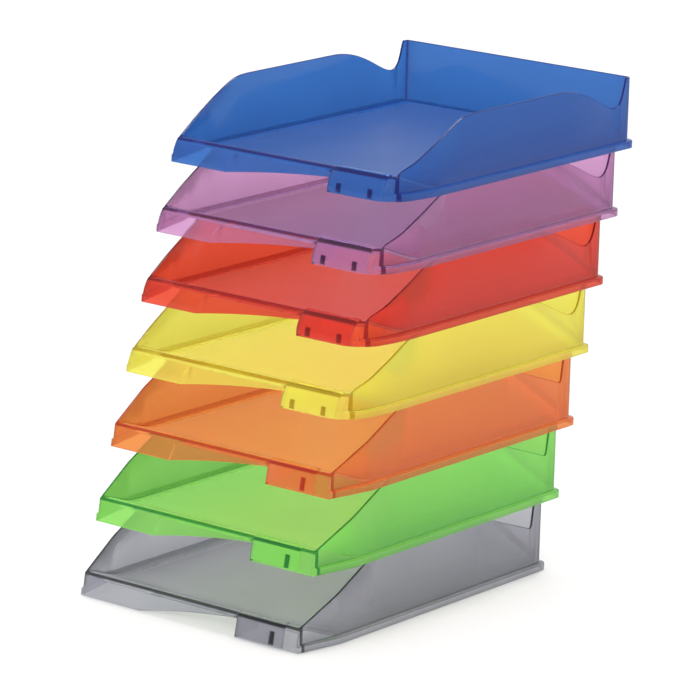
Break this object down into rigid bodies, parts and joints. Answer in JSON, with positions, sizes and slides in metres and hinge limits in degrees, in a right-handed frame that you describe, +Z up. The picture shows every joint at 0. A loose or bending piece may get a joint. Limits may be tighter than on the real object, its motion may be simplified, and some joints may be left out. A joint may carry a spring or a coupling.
{
  "type": "letter tray",
  "caption": "Stack of open-front letter trays in translucent plastic, each set back from the one below, with notched side walls, finger recess and clip-on label holder.",
  "frame": {"origin": "on the surface that the stack stands on, under the middle of the stack's outline", "axes": "+X to the right seen from the open front, +Y from the open front towards the back walls, +Z up"},
  "size_m": [0.255, 0.445, 0.4208],
  "materials": {
    "grey_plastic": "translucent grey polystyrene, glossy",
    "green_plastic": "translucent green polystyrene, glossy",
    "orange_plastic": "translucent orange polystyrene, glossy",
    "yellow_plastic": "translucent yellow polystyrene, glossy",
    "red_plastic": "translucent red polystyrene, glossy",
    "violet_plastic": "translucent violet polystyrene, glossy",
    "blue_plastic": "translucent blue polystyrene, glossy"
  },
  "bodies": {
    "grey": {"grey_tray": "grey_plastic", "grey_label_holder": "grey_plastic"},
    "green": {"green_tray": "green_plastic", "green_label_holder": "green_plastic"},
    "orange": {"orange_tray": "orange_plastic", "orange_label_holder": "orange_plastic"},
    "yellow": {"yellow_tray": "yellow_plastic", "yellow_label_holder": "yellow_plastic"},
    "red": {"red_tray": "red_plastic", "red_label_holder": "red_plastic"},
    "violet": {"violet_tray": "violet_plastic", "violet_label_holder": "violet_plastic"},
    "blue": {"blue_tray": "blue_plastic", "blue_label_holder": "blue_plastic"}
  },
  "joints": [
    {"name": "green_lift", "type": "slide", "parent": "grey", "child": "green", "axis": [0, 0, 1], "range_m": [0, 0.08]},
    {"name": "orange_lift", "type": "slide", "parent": "green", "child": "orange", "axis": [0, 0, 1], "range_m": [0, 0.08]},
    {"name": "yellow_lift", "type": "slide", "parent": "orange", "child": "yellow", "axis": [0, 0, 1], "range_m": [0, 0.08]},
    {"name": "red_lift", "type": "slide", "parent": "yellow", "child": "red", "axis": [0, 0, 1], "range_m": [0, 0.08]},
    {"name": "violet_lift", "type": "slide", "parent": "red", "child": "violet", "axis": [0, 0, 1], "range_m": [0, 0.08]},
    {"name": "blue_lift", "type": "slide", "parent": "violet", "child": "blue", "axis": [0, 0, 1], "range_m": [0, 0.08]}
  ]
}
